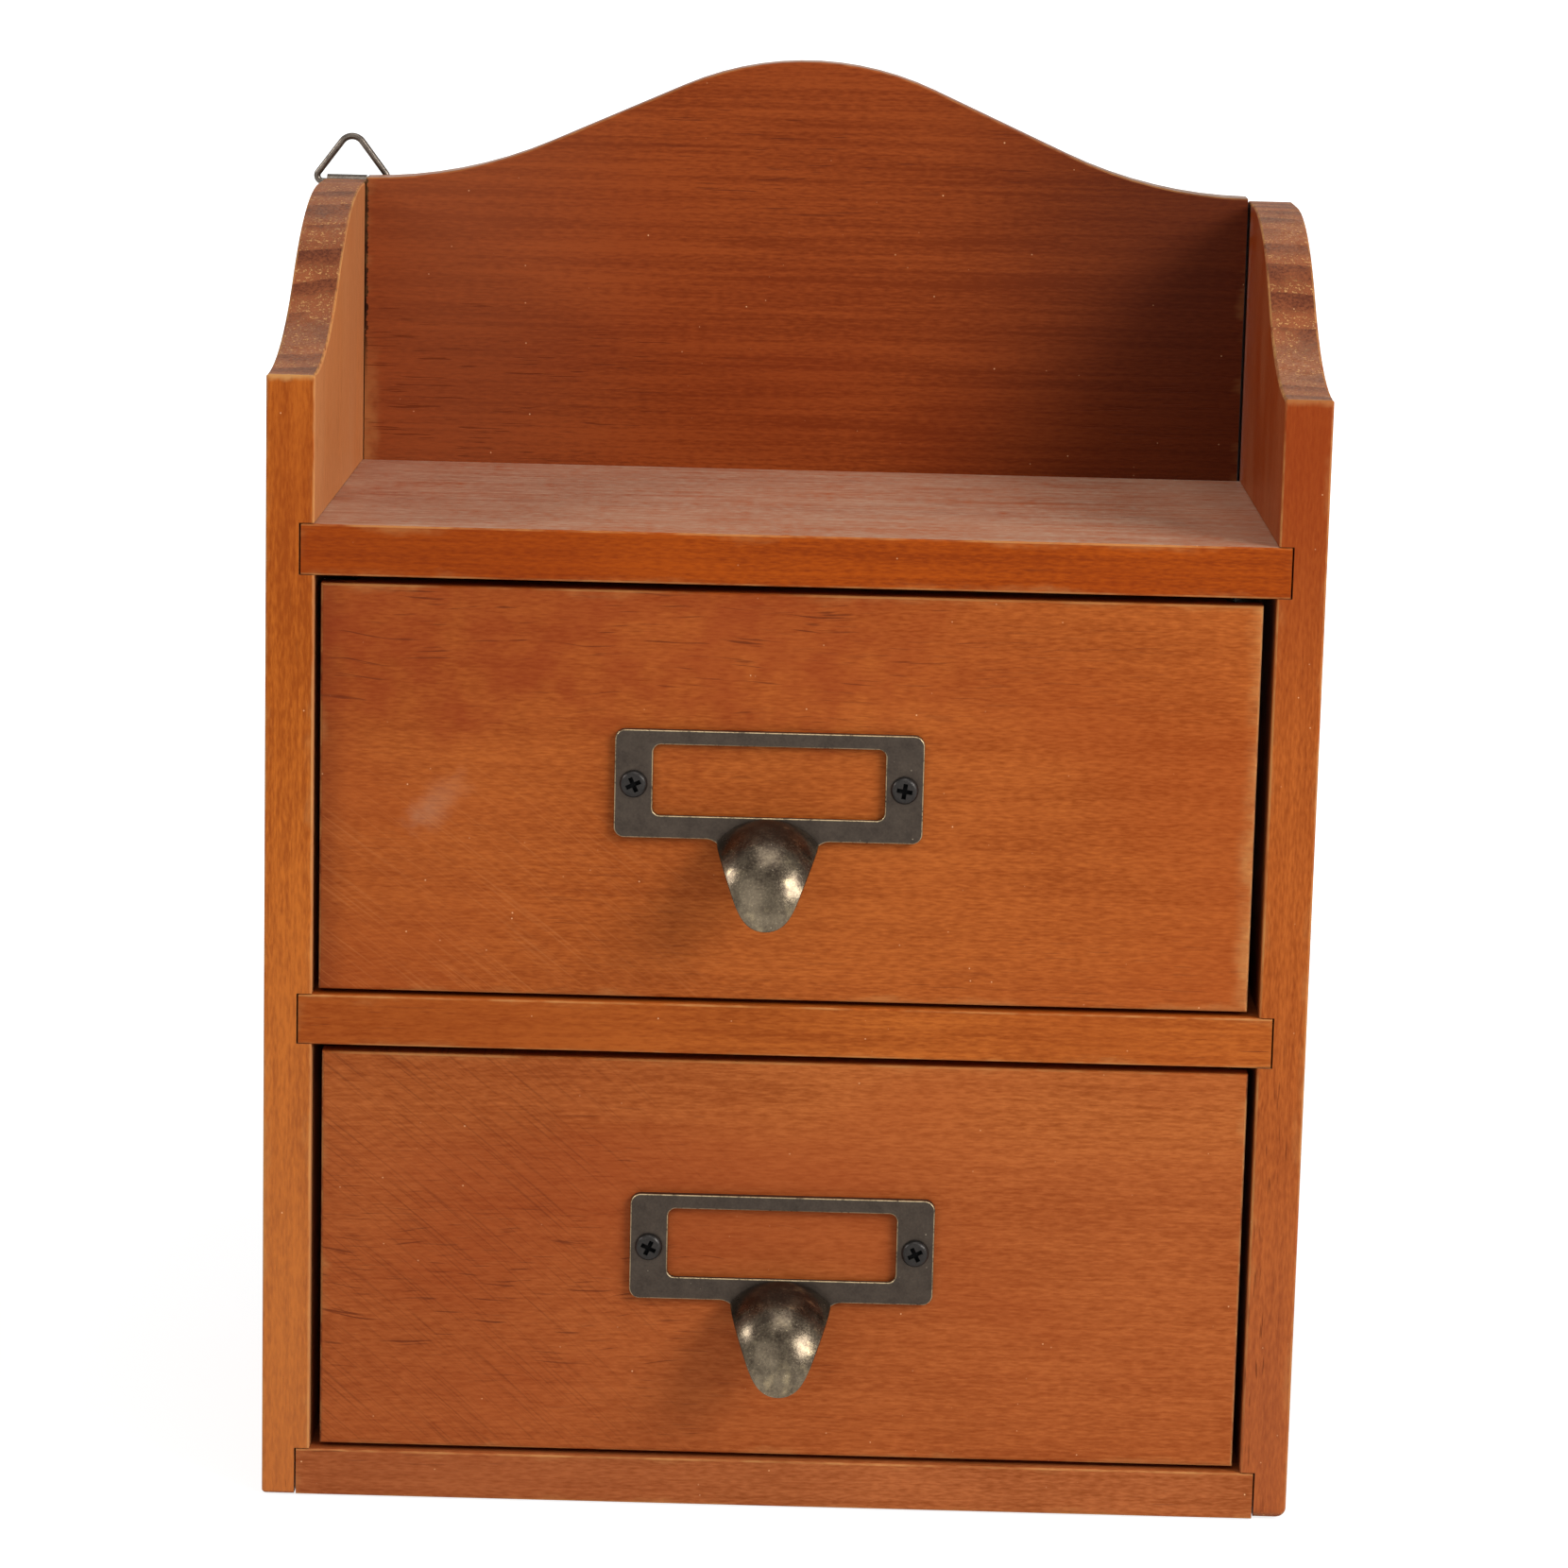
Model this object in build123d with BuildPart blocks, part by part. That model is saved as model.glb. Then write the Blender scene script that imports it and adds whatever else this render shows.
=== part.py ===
from build123d import *

import os
from math import asin, atan, cos, degrees, radians, sin, tan

# Desktop drawer unit in millimetres: a pine case with an open tray, two drawers and two wall hangers.
# X runs to the right, Y to the back and Z up; the origin is the middle of the case's foot.

# Case
case_width = 200.0
case_depth = 105.0
side_thickness = 9.2
housing_depth = 2.9
housing_end_gap = 0.35
housing_head_gap = 0.12
bottom_thickness = 9.3
shelf_thickness = 9.8
bay_height = 81.2
tray_lip = 28.0
wing_height = 57.2
wing_flat = 13.0
edge_ease = 0.5
left_foot_round = 0.8
right_foot_round = 2.4

# Back board and its crest
back_thickness = 8.0
back_gap_left = 0.2
back_gap_right = 0.6
crest_foot_height = 58.2
crest_slope = 24.0
crest_top_radius = 63.0
crest_foot_radius = 93.0

# Drawer boxes
front_thickness = 9.0
front_recess = 1.2
front_foot_gap = 0.9
front_head_gap = 1.6
front_ease = 0.6
drawer_side_play = 1.75
drawer_rear_gap = 1.5
drawer_wall = 6.5
wall_head_gap = 11.2
corner_rabbet = 4.5
sheet_thickness = 3.0
sheet_groove = 3.0
sheet_end_gap = 0.3
sheet_lift = 5.0
upper_drawer_shift = -0.55
lower_drawer_shift = 0.2

# Label pull
window_width = 44.2
window_height = 13.7
window_corner = 1.5
side_band = 7.3
top_band = 2.8
bottom_band = 4.4
pull_plate = 1.5
pull_corner = 2.0
pull_ease = 0.35
card_slot_depth = 0.6
card_slot_margin = 1.6
hood_half_width = 9.4
hood_rise = 4.2
hood_reach = 16.3
hood_drop = 14.3
hood_wall = 1.4
hood_curl = 120.0
hood_flare = 0.6
hood_waist = 2.0
hood_nose = 8.8
hood_rim_round = 0.25
root_drop = 3.2
root_round = 3.4
pull_drop = 36.8
upper_pull_shift = -3.5
lower_pull_shift = 0.3

# Screws and brads
pull_screw_head = 5.3
pull_screw_head_height = 1.3
pull_screw_shank = 2.4
pull_screw_length = 9.0
hanger_screw_head = 4.6
hanger_screw_head_height = 1.4
hanger_screw_shank = 2.2
hanger_screw_length = 12.0
cross_slot_width = 0.85
cross_slot_length = 3.0
cross_slot_depth = 1.0
upper_left_slot_turn = 25.0
upper_right_slot_turn = -8.0
lower_left_slot_turn = -25.0
lower_right_slot_turn = 27.0
screw_play = 0.1
brad_diameter = 1.2
brad_play = 0.05
brad_set = 0.4
case_brad_length = 18.0
back_brad_length = 20.0
drawer_brad_length = 15.0
case_brad_inset = 24.0
back_brad_spacing = 62.0
drawer_brad_inset = 14.0

# Wall hangers
strap_width = 8.2
strap_gauge = 0.8
strap_length = 18.5
strap_fold_gap = 0.05
strap_screw_drop = 14.2
strap_fold_angle = 240.0
ring_wire = 1.4
ring_play = 0.08
ring_end_play = 0.9
ring_slip = 1.0
ring_leg_angle = 53.0
ring_foot_radius = 1.2
ring_apex_radius = 2.6
ring_rest_gap = 0.3
left_hanger_drop = 0.7
right_hanger_drop = 3.0

# Levels and planes that follow from the sizes above
front = -case_depth / 2
rear = case_depth / 2
inner_half = case_width / 2 - side_thickness
back_face = rear - back_thickness
shelf_half = inner_half + housing_depth - housing_end_gap
lower_floor = bottom_thickness
middle_base = lower_floor + bay_height
upper_floor = middle_base + shelf_thickness
top_base = upper_floor + bay_height
tray_floor = top_base + shelf_thickness
lip_top = tray_floor + tray_lip
wing_top = tray_floor + wing_height
boards = {
    "bottom_board": (0.0, lower_floor),
    "middle_shelf": (middle_base, upper_floor),
    "top_shelf": (top_base, tray_floor),
}
board_levels = [(low + high) / 2 for low, high in boards.values()]
front_plane = front + front_recess
front_back = front_plane + front_thickness
drawer_rear = back_face - drawer_rear_gap
drawer_half = inner_half - drawer_side_play
drawer_inner_half = drawer_half - drawer_wall
drawer_wall_height = bay_height - wall_head_gap
pull_width = window_width + 2 * side_band
pull_height = window_height + top_band + bottom_band
pull_screw_spots = [(-(window_width + side_band) / 2, 0), ((window_width + side_band) / 2, 0)]
strap_back = rear + 2 * strap_gauge + strap_fold_gap
bar_y = rear + strap_gauge + ring_play + ring_wire / 2
ring_foot_tangent = ring_foot_radius / tan(radians(ring_leg_angle / 2))
ring_half = strap_width / 2 + ring_slip + ring_end_play + ring_foot_tangent
ring_height = ring_half * tan(radians(ring_leg_angle))

os.makedirs("parts", exist_ok=True)


def save(piece, name):
    """Label a finished piece and write it to its own file."""
    piece.part.label = name
    export_step(piece.part, f"parts/{name}.step")


def block(low, high, mode=Mode.ADD):
    """Box between two opposite corners."""
    with Locations(tuple((a + b) / 2 for a, b in zip(low, high))):
        Box(*[b - a for a, b in zip(low, high)], mode=mode)


def rod(start, direction, radius, length, mode=Mode.ADD):
    """Round rod from a point along a direction."""
    with Locations(Plane(origin=start, z_dir=direction)):
        Cylinder(radius, length, align=(Align.CENTER, Align.CENTER, Align.MIN), mode=mode)


def drill(brads, length):
    """Holes for brads, open at the head and a little deeper than the point."""
    for head, direction in brads:
        mouth = Vector(*head) - Vector(*direction) * 2 * brad_set
        rod(mouth, direction, brad_diameter / 2 + brad_play, length + 3 * brad_set, Mode.SUBTRACT)


def make_brads(name, brads, length):
    """A group of equal brads, each given by the place of its head and its direction."""
    with BuildPart() as group:
        for head, direction in brads:
            rod(head, direction, brad_diameter / 2, length)
    save(group, name)


def side_brads(sign):
    """Brads through one side panel into the ends of the three boards."""
    rows = (front + case_brad_inset, back_face - case_brad_inset)
    head_x = sign * (case_width / 2 - brad_set)
    return [((head_x, y, z), (-sign, 0, 0)) for z in board_levels for y in rows]


def back_brads():
    """Brads through the back board into the rear edges of the three boards."""
    columns = (-back_brad_spacing, 0.0, back_brad_spacing)
    return [((x, rear - brad_set, z), (0, -1, 0)) for z in board_levels for x in columns]


def corner_brads(floor, shift):
    """Brads through the drawer's sides into the ends of its front and back."""
    rows = (front_back - corner_rabbet / 2, drawer_rear - drawer_wall / 2)
    levels = (floor + drawer_brad_inset, floor + drawer_wall_height - drawer_brad_inset)
    spots = [(sign, y, z) for sign in (-1, 1) for y in rows for z in levels]
    return [((shift + s * (drawer_half - brad_set), y, z), (-s, 0, 0)) for s, y, z in spots]


def make_screws(name, plane, spots, turns, head, head_height, shank, length):
    """Cross-slotted screws with domed heads that stand on a plane, each slot turned by its own angle."""
    outward = Axis(plane.origin, plane.z_dir)
    with BuildPart() as screws:
        with BuildSketch(plane):
            with Locations(*spots):
                Circle(head / 2)
        extrude(amount=head_height)
        fillet(screws.edges().group_by(outward)[-1], 0.8 * head_height)
        with BuildSketch(plane):
            with Locations(*spots):
                Circle(shank / 2)
        extrude(amount=-length)
        chamfer(screws.edges().group_by(outward)[0], 0.3 * shank)
        with BuildSketch(plane.offset(head_height)):
            with Locations(*[Location((x, y, 0), (0, 0, turn)) for (x, y), turn in zip(spots, turns)]):
                Rectangle(cross_slot_length, cross_slot_width)
                Rectangle(cross_slot_width, cross_slot_length)
        extrude(amount=-cross_slot_depth, mode=Mode.SUBTRACT)
    save(screws, name)


def strap_screw_plane(sign, drop):
    """Outer face of a hanger strap, with its origin at the strap's screw."""
    origin = (sign * (case_width - side_thickness) / 2, strap_back, wing_top - drop - strap_screw_drop)
    return Plane(origin=origin, x_dir=(-1, 0, 0), z_dir=(0, 1, 0))


def make_side(name, sign, foot_round, hanger_drop):
    """Side panel with its ogee top, the housings for the boards and the pilot holes."""
    inner_face = sign * inner_half
    outer_face = sign * case_width / 2
    rise_angle = 2 * atan((wing_height - tray_lip) / (case_depth - wing_flat))
    rise_radius = (case_depth - wing_flat) / (2 * sin(rise_angle))
    with BuildPart() as side:
        with BuildSketch(Plane.YZ.offset(min(inner_face, outer_face))):
            with BuildLine():
                hollow = JernArc((front, lip_top), (1, 0), rise_radius, degrees(rise_angle))
                round_off = JernArc(hollow @ 1, hollow % 1, rise_radius, -degrees(rise_angle))
                Polyline(round_off @ 1, (rear, wing_top), (rear, 0), (front, 0), (front, lip_top))
            make_face()
        extrude(amount=side_thickness)
        outline = side.edges().filter_by(Axis.X, reverse=True)
        fillet(outline.filter_by(lambda e: e.center().Z > lower_floor and e.center().Y < back_face), edge_ease)
        foot = side.edges().filter_by(Axis.Y).group_by(Axis.Z)[0].sort_by(Axis.X)
        fillet(foot[0] if sign < 0 else foot[-1], foot_round)
        for low, high in boards.values():
            ends = sorted((sign * (inner_half - side_thickness), sign * (inner_half + housing_depth)))
            base = low if low > 0 else -bottom_thickness
            top = high + housing_head_gap
            block((ends[0], front - side_thickness, base), (ends[1], back_face, top), Mode.SUBTRACT)
        drill(side_brads(sign), case_brad_length)
        with BuildSketch(strap_screw_plane(sign, hanger_drop)):
            Circle(hanger_screw_shank / 2 + screw_play)
        extrude(amount=-hanger_screw_length - screw_play, mode=Mode.SUBTRACT)
    save(side, name)


def make_board(name, low, high):
    """One of the three boards that are housed in the sides."""
    with BuildPart() as board:
        block((-shelf_half, front, low), (shelf_half, back_face, high))
        fillet(board.edges().filter_by(Axis.X).group_by(Axis.Y)[0], edge_ease)
        for sign in (-1, 1):
            drill(side_brads(sign), case_brad_length)
        drill(back_brads(), back_brad_length)
    save(board, name)


def make_back():
    """Back board between the sides, with a crest of two hollows, two straights and a round top."""
    left = -inner_half + back_gap_left
    right = inner_half - back_gap_right
    slope = radians(crest_slope)
    foot_z = tray_floor + crest_foot_height
    straight = (inner_half - (crest_top_radius + crest_foot_radius) * sin(slope)) / cos(slope)
    with BuildPart() as back:
        with BuildSketch(Plane.XZ.offset(-rear)):
            with BuildLine():
                hollow = JernArc((-inner_half, foot_z), (1, 0), crest_foot_radius, crest_slope)
                climb = Line(hollow @ 1, hollow @ 1 + (hollow % 1) * straight)
                crown = JernArc(climb @ 1, climb % 1, crest_top_radius, -2 * crest_slope)
                descent = Line(crown @ 1, crown @ 1 + (crown % 1) * straight)
                far_hollow = JernArc(descent @ 1, descent % 1, crest_foot_radius, crest_slope)
                Polyline(far_hollow @ 1, (inner_half, 0), (-inner_half, 0), (-inner_half, foot_z))
            make_face()
        extrude(amount=back_thickness)
        fillet(back.edges().filter_by(lambda e: e.center().Z > foot_z).filter_by(Axis.Y, reverse=True), edge_ease)
        for start, end in ((-case_width, left), (right, case_width)):
            block((start, back_face - rear, -foot_z), (end, 2 * rear, 2 * foot_z), Mode.SUBTRACT)
        drill(back_brads(), back_brad_length)
    save(back, "back_board")


def make_drawer_front(name, floor, shift, plane):
    """Drawer front, rabbeted for the sides and grooved for the sheet."""
    low = floor + front_foot_gap
    high = floor + bay_height - front_head_gap
    groove_half = drawer_inner_half + sheet_groove
    with BuildPart() as board:
        block((shift - drawer_half, front_plane, low), (shift + drawer_half, front_back, high))
        fillet(board.faces().sort_by(Axis.Y)[0].edges(), front_ease)
        for sign in (-1, 1):
            ends = sorted((shift + sign * drawer_inner_half, shift + sign * case_width))
            block((ends[0], front_back - corner_rabbet, 0), (ends[1], rear, wing_top), Mode.SUBTRACT)
        groove_low = (shift - groove_half, front_back - sheet_groove, floor + sheet_lift)
        block(groove_low, (shift + groove_half, rear, floor + sheet_lift + sheet_thickness), Mode.SUBTRACT)
        drill(corner_brads(floor, shift), drawer_brad_length)
        with BuildSketch(plane):
            with Locations(*pull_screw_spots):
                Circle(pull_screw_shank / 2 + screw_play)
        extrude(amount=-(pull_screw_length - pull_plate) - screw_play, mode=Mode.SUBTRACT)
    save(board, name)


def make_drawer_side(name, floor, shift, sign):
    """Drawer side, set into the front's rabbet and grooved for the sheet."""
    ends = sorted((shift + sign * drawer_inner_half, shift + sign * drawer_half))
    groove = sorted((shift, shift + sign * (drawer_inner_half + sheet_groove)))
    with BuildPart() as board:
        block((ends[0], front_back - corner_rabbet, floor), (ends[1], drawer_rear, floor + drawer_wall_height))
        fillet(board.edges().filter_by(Axis.Y).group_by(Axis.Z)[-1], edge_ease)
        groove_low = (groove[0], front, floor + sheet_lift)
        groove_high = (groove[1], drawer_rear - drawer_wall + sheet_groove, floor + sheet_lift + sheet_thickness)
        block(groove_low, groove_high, Mode.SUBTRACT)
        drill(corner_brads(floor, shift), drawer_brad_length)
    save(board, name)


def make_drawer_back(name, floor, shift):
    """Drawer back between the sides, grooved for the sheet."""
    inner_face = drawer_rear - drawer_wall
    with BuildPart() as board:
        low = (shift - drawer_inner_half, inner_face, floor + front_foot_gap)
        block(low, (shift + drawer_inner_half, drawer_rear, floor + drawer_wall_height))
        fillet(board.edges().filter_by(Axis.X).group_by(Axis.Z)[-1], edge_ease)
        groove_low = (shift - drawer_half, front, floor + sheet_lift)
        groove_high = (shift + drawer_half, inner_face + sheet_groove, floor + sheet_lift + sheet_thickness)
        block(groove_low, groove_high, Mode.SUBTRACT)
        drill(corner_brads(floor, shift), drawer_brad_length)
    save(board, name)


def make_drawer_sheet(name, floor, shift):
    """Drawer bottom, held in the grooves of the four walls."""
    reach = sheet_groove - sheet_end_gap
    half = drawer_inner_half + reach
    low = (shift - half, front_back - reach, floor + sheet_lift)
    high = (shift + half, drawer_rear - drawer_wall + reach, floor + sheet_lift + sheet_thickness)
    with BuildPart() as sheet:
        block(low, high)
    save(sheet, name)


def make_pull(name, plane):
    """Card frame with a finger hood; the plane is the drawer front's face at the frame's centre."""
    face = plane.offset(pull_plate)
    frame_foot = -pull_height / 2
    window_centre = (0, (bottom_band - top_band) / 2)
    section_radius = (hood_half_width**2 + hood_rise**2) / (2 * hood_rise)
    ridge = frame_foot + hood_rise
    curl_axis = Axis(face.from_local_coords((0, ridge - hood_reach, 0)), face.x_dir)
    flare_half = hood_half_width + hood_flare
    with BuildPart() as hood:
        with BuildSketch(face):
            with Locations((0, ridge - section_radius)):
                Circle(section_radius)
                Circle(section_radius - hood_wall, mode=Mode.SUBTRACT)
            with Locations((0, frame_foot - hood_wall)):
                above = (Align.CENTER, Align.MIN)
                Rectangle(2 * section_radius, 2 * section_radius, align=above, mode=Mode.INTERSECT)
        revolve(axis=curl_axis, revolution_arc=hood_curl)
        with BuildSketch(plane):
            with BuildLine():
                left, right = (-flare_half, frame_foot), (flare_half, frame_foot)
                nose_z = frame_foot - 16 / 15 * hood_drop
                bends = [(half, nose_z) for half in (-hood_waist, -hood_nose, hood_nose, hood_waist)]
                trim = Bezier(left, *bends, right)
                Polyline(right, (flare_half, ridge + hood_wall), (-flare_half, ridge + hood_wall), left)
            make_face()
        extrude(amount=2 * hood_reach, mode=Mode.INTERSECT)
        fillet(hood.edges().sort_by(SortBy.LENGTH)[-1], hood_rim_round)
    with BuildPart() as pull:
        with BuildSketch(plane) as outline:
            RectangleRounded(pull_width, pull_height, pull_corner)
            with BuildLine():
                root_line = Axis((0, frame_foot - root_drop, 0), (1, 0, 0))
                root = sorted(trim.find_intersection_points(root_line), key=lambda point: point.X)
                left_side = (-hood_half_width, 0), (-hood_half_width, frame_foot)
                right_side = (hood_half_width, frame_foot), (hood_half_width, 0)
                Polyline(*left_side, *root, *right_side, close=True)
            make_face()
            foot_corners = outline.vertices().filter_by(lambda v: abs(v.Y - frame_foot) < hood_flare / 2)
            fillet(foot_corners.filter_by(lambda v: abs(v.X) < flare_half), root_round)
            with Locations(window_centre):
                RectangleRounded(window_width, window_height, window_corner, mode=Mode.SUBTRACT)
        extrude(amount=pull_plate)
        fillet(pull.faces().filter_by(Axis.Y).sort_by(Axis.Y)[0].edges(), pull_ease)
        with BuildSketch(plane):
            with Locations(window_centre):
                Rectangle(window_width + 2 * card_slot_margin, window_height + 2 * card_slot_margin)
        extrude(amount=card_slot_depth, mode=Mode.SUBTRACT)
        with BuildSketch(plane):
            with Locations(*pull_screw_spots):
                Circle(pull_screw_shank / 2 + screw_play)
        extrude(amount=pull_plate, mode=Mode.SUBTRACT)
        add(hood.part)
    save(pull, name)


def make_drawer(prefix, floor, shift, pull_shift, slot_turns):
    """All pieces of one drawer, standing on its floor in the case."""
    pull_z = floor + bay_height - front_head_gap - pull_drop
    plane = Plane(origin=(shift + pull_shift, front_plane, pull_z), x_dir=(1, 0, 0), z_dir=(0, -1, 0))
    make_drawer_front(f"{prefix}_drawer_front", floor, shift, plane)
    make_drawer_side(f"{prefix}_drawer_left_side", floor, shift, -1)
    make_drawer_side(f"{prefix}_drawer_right_side", floor, shift, 1)
    make_drawer_back(f"{prefix}_drawer_back", floor, shift)
    make_drawer_sheet(f"{prefix}_drawer_bottom", floor, shift)
    make_brads(f"{prefix}_drawer_brads", corner_brads(floor, shift), drawer_brad_length)
    make_pull(f"{prefix}_pull", plane)
    head = (pull_screw_head, pull_screw_head_height)
    places = (plane.offset(pull_plate), pull_screw_spots, slot_turns)
    make_screws(f"{prefix}_pull_screws", *places, *head, pull_screw_shank, pull_screw_length)


def make_strap(name, sign, drop):
    """Strip folded round the ring's bar, with both ends flat on the side panel's rear edge."""
    bar_z = wing_top - drop
    fold_radius = ring_wire / 2 + ring_play + strap_gauge / 2
    back_turn = strap_fold_angle - 180
    lean = radians(back_turn)
    near_leg = rear + strap_gauge / 2
    far_leg = near_leg + strap_gauge + strap_fold_gap
    back_radius = (bar_y + fold_radius * cos(lean) - far_leg) / (1 - cos(lean))
    with BuildPart() as strap:
        with BuildSketch(Plane.YZ.offset(sign * (case_width - side_thickness) / 2)):
            with BuildLine():
                near = Line((near_leg, bar_z - strap_length), (near_leg, bar_z))
                fold = JernArc(near @ 1, (0, 1), fold_radius, -strap_fold_angle)
                back_bend = JernArc(fold @ 1, fold % 1, back_radius, back_turn)
                Line(back_bend @ 1, (far_leg, bar_z - strap_length))
            trace(line_width=strap_gauge)
        extrude(amount=strap_width / 2, both=True)
        with BuildSketch(strap_screw_plane(sign, drop)):
            Circle(hanger_screw_shank / 2 + screw_play)
        extrude(amount=-2 * strap_gauge - strap_fold_gap, mode=Mode.SUBTRACT)
    save(strap, name)


def make_ring(name, sign, drop, lean):
    """Triangular wire ring; lean is its angle from upright, backwards about its bar."""
    tilt = radians(lean)
    centre = (sign * ((case_width - side_thickness) / 2 - ring_slip), bar_y, wing_top - drop)
    plane = Plane(origin=centre, x_dir=(1, 0, 0), z_dir=(0, -cos(tilt), sin(tilt)))
    with BuildPart() as ring:
        with BuildLine(plane) as path:
            corners = (-ring_half, 0), (ring_half, 0), (0, ring_height)
            radii = (ring_foot_radius, ring_foot_radius, ring_apex_radius)
            FilletPolyline(*corners, radius=radii, close=True)
        with BuildSketch(Plane(origin=path.wires()[0] @ 0, z_dir=path.wires()[0] % 0)):
            Circle(ring_wire / 2)
        sweep(path=path.wires()[0])
    save(ring, name)


def make_hanger(prefix, sign, drop, lean):
    """Strap, ring and screw of one wall hanger."""
    make_strap(f"{prefix}_hanger_strap", sign, drop)
    make_ring(f"{prefix}_hanger_ring", sign, drop, lean)
    head = (hanger_screw_head, hanger_screw_head_height)
    plane = strap_screw_plane(sign, drop)
    make_screws(f"{prefix}_hanger_screw", plane, [(0, 0)], [0], *head, hanger_screw_shank, hanger_screw_length)


# A hanging ring leans on the strap's edges, where its legs cross them
leg_crossing = (ring_half - strap_width / 2 - ring_slip) * tan(radians(ring_leg_angle))
hanging_lean = 180 - degrees(asin((strap_back + ring_rest_gap + ring_wire / 2 - bar_y) / leg_crossing))

make_side("left_side_panel", -1, left_foot_round, left_hanger_drop)
make_side("right_side_panel", 1, right_foot_round, right_hanger_drop)
for board_name, (board_low, board_high) in boards.items():
    make_board(board_name, board_low, board_high)
make_back()
make_brads("side_brads", side_brads(-1) + side_brads(1), case_brad_length)
make_brads("back_brads", back_brads(), back_brad_length)
upper_slot_turns = (upper_left_slot_turn, upper_right_slot_turn)
lower_slot_turns = (lower_left_slot_turn, lower_right_slot_turn)
make_drawer("upper", upper_floor, upper_drawer_shift, upper_pull_shift, upper_slot_turns)
make_drawer("lower", lower_floor, lower_drawer_shift, lower_pull_shift, lower_slot_turns)
make_hanger("left", -1, left_hanger_drop, 0.0)
make_hanger("right", 1, right_hanger_drop, hanging_lean)
print("ring hinge at y", round(bar_y, 3), "lean of a hanging ring", round(hanging_lean, 2))
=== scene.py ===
import bpy
from math import cos, radians, sin
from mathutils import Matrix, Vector


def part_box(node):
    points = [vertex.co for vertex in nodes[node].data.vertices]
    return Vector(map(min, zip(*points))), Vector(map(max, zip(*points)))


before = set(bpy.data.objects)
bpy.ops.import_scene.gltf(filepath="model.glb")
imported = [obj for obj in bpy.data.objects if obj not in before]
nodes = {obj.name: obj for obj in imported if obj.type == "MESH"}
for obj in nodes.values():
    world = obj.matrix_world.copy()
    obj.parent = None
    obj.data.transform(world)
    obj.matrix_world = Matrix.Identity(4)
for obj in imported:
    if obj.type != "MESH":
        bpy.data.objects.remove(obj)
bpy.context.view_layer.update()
scene = bpy.context.scene
scene.view_settings.view_transform = "Standard"
X, Y, Z = range(3)
MM_PER_M = 1000.0

# Places on the CAD part, in millimetres
FRONT_PLANE = -52.5
BACK_BOARD_FACE = 44.5
LIP_TOP = 219.3
PULL_PLATE = 1.5


def srgb(red, green, blue):
    """Scene colour of a colour that is given as it looks on screen, 0 to 255."""
    def linear(value):
        value /= 255
        return value / 12.92 if value <= 0.04045 else ((value + 0.055) / 1.055) ** 2.4
    return (linear(red), linear(green), linear(blue), 1.0)


RAW_WOOD = srgb(210, 154, 92)
DUST_AND_SHEEN = srgb(204, 174, 148)
# Pale dust on faces that look up, also used as a painted sheen on them
VARNISH_SPECK = srgb(240, 190, 138)
DARK_FLECK = srgb(92, 36, 14)
BARE_METAL = srgb(192, 172, 134)
WOOD_FINISH = {"Specular IOR Level": 0.08}


def add_node(tree, kind, inputs=(), **settings):
    """New node of a tree. Each input takes another node's output or a plain value."""
    node = tree.nodes.new(kind)
    for key, value in settings.items():
        setattr(node, key, value)
    for key, value in dict(inputs).items():
        if isinstance(value, bpy.types.NodeSocket):
            tree.links.new(value, node.inputs[key])
        else:
            node.inputs[key].default_value = value
    return node


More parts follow.
